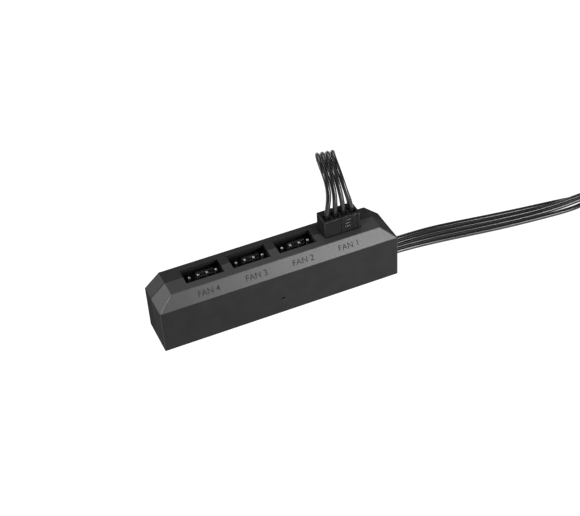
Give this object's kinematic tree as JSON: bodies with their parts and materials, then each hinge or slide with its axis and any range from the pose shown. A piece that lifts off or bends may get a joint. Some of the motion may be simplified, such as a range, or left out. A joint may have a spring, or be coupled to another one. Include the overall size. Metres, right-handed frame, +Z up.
{
  "type": "pc fan controller hub",
  "caption": "Slim bar-shaped fan hub with a slanted front edge, a row of pin sockets in its top, one of them taken by a plug, and a captive input lead at one end.",
  "frame": {"origin": "middle of the case's underside", "axes": "+X along the case to the end where the input lead leaves, +Y to the back, +Z up"},
  "size_m": [0.2151, 0.0296, 0.035],
  "materials": {
    "front_case": "finely textured dark grey moulded plastic",
    "rear_case": "finely textured near-black moulded plastic",
    "board": "solder-masked board",
    "header": "smooth black nylon",
    "post": "tin-plated square posts",
    "solder": "bright solder",
    "led": "clear moulded lamp",
    "chip": "small ceramic parts",
    "plug": "smooth black nylon",
    "contact": "bright stamped contacts",
    "insulation": "satin black wire insulation",
    "tie": "smooth black nylon tie"
  },
  "bodies": {
    "root": {"front_shell": "front_case", "rear_shell": "rear_case", "circuit_board": "board", "header_solder": "solder", "lead_solder": "solder", "status_led": "led", "led_resistor": "chip", "filter_capacitor": "chip", "fan_plug": "plug", "fan_connector": "plug", "input_plug": "plug", "input_hank": "insulation", "input_hank_tie": "tie", "fan_header_1": "header", "fan_header_1_pin_1": "post", "fan_header_1_pin_2": "post", "fan_header_1_pin_3": "post", "fan_header_1_pin_4": "post", "fan_plug_contact_1": "contact", "input_plug_contact_1": "contact", "fan_connector_pin_1": "post", "input_wire_1": "insulation", "input_tail_1": "insulation", "fan_wire_1": "insulation", "fan_header_2": "header", "fan_header_2_pin_1": "post", "fan_header_2_pin_2": "post", "fan_header_2_pin_3": "post", "fan_header_2_pin_4": "post", "fan_plug_contact_2": "contact", "input_plug_contact_2": "contact", "fan_connector_pin_2": "post", "input_wire_2": "insulation", "input_tail_2": "insulation", "fan_wire_2": "insulation", "fan_header_3": "header", "fan_header_3_pin_1": "post", "fan_header_3_pin_2": "post", "fan_header_3_pin_3": "post", "fan_header_3_pin_4": "post", "fan_plug_contact_3": "contact", "input_plug_contact_3": "contact", "fan_connector_pin_3": "post", "input_wire_3": "insulation", "input_tail_3": "insulation", "fan_wire_3": "insulation", "fan_header_4": "header", "fan_header_4_pin_1": "post", "fan_header_4_pin_2": "post", "fan_header_4_pin_3": "post", "fan_header_4_pin_4": "post", "fan_plug_contact_4": "contact", "input_plug_contact_4": "contact", "fan_connector_pin_4": "post", "input_wire_4": "insulation", "input_tail_4": "insulation", "fan_wire_4": "insulation"}
  },
  "joints": []
}
